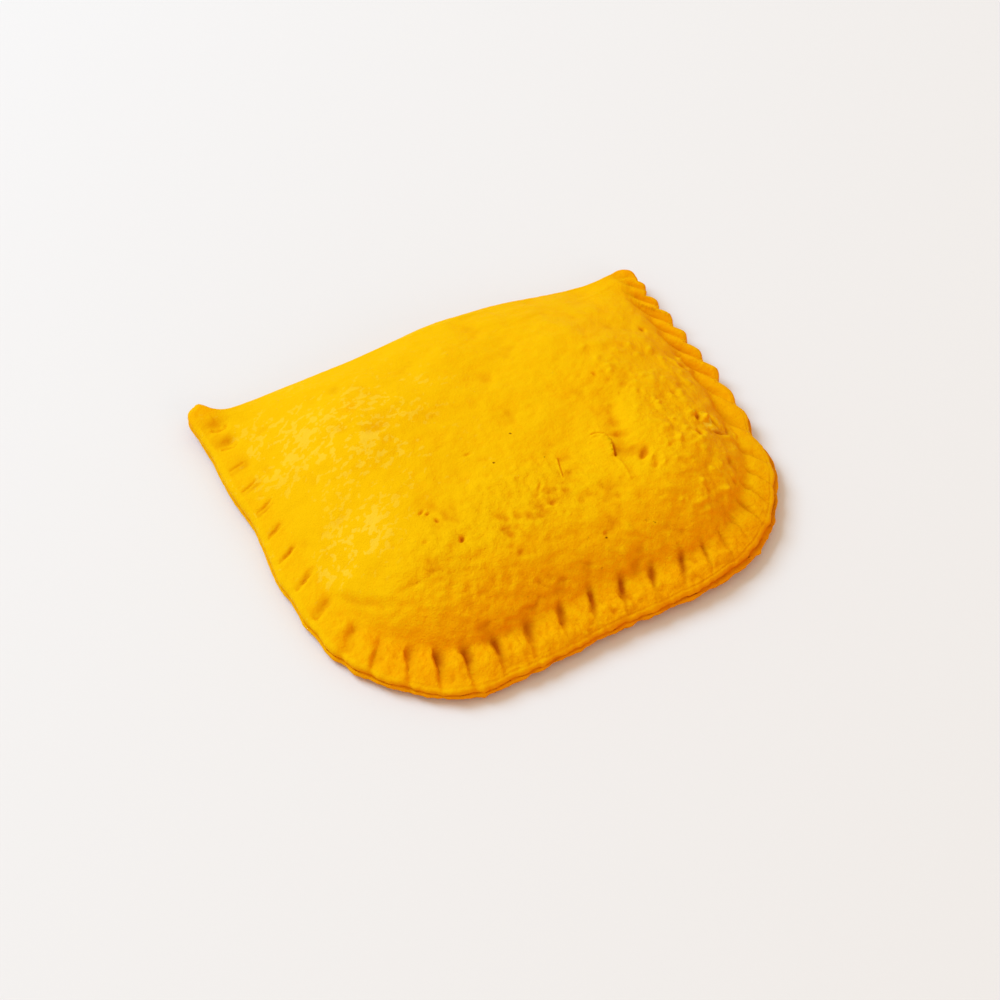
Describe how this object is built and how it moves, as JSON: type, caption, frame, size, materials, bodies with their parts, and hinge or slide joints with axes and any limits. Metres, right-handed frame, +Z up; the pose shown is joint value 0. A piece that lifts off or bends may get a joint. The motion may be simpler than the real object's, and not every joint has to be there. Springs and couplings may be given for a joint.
{
  "type": "jamaican patty",
  "caption": "Folded pasty of yellow flaky dough with a straight fold, a domed uneven top and a crimped rim round its other sides.",
  "frame": {"origin": "under the middle of the patty's box, on the surface that it rests on", "axes": "+X along the fold, the longest side, +Y from the crimped front towards the fold, +Z up"},
  "size_m": [0.1406, 0.119, 0.0193],
  "materials": {
    "crust": "baked yellow dough, faintly satin, with paler floury patches and browned crimp grooves"
  },
  "bodies": {
    "root": {"patty": "crust"}
  },
  "joints": []
}
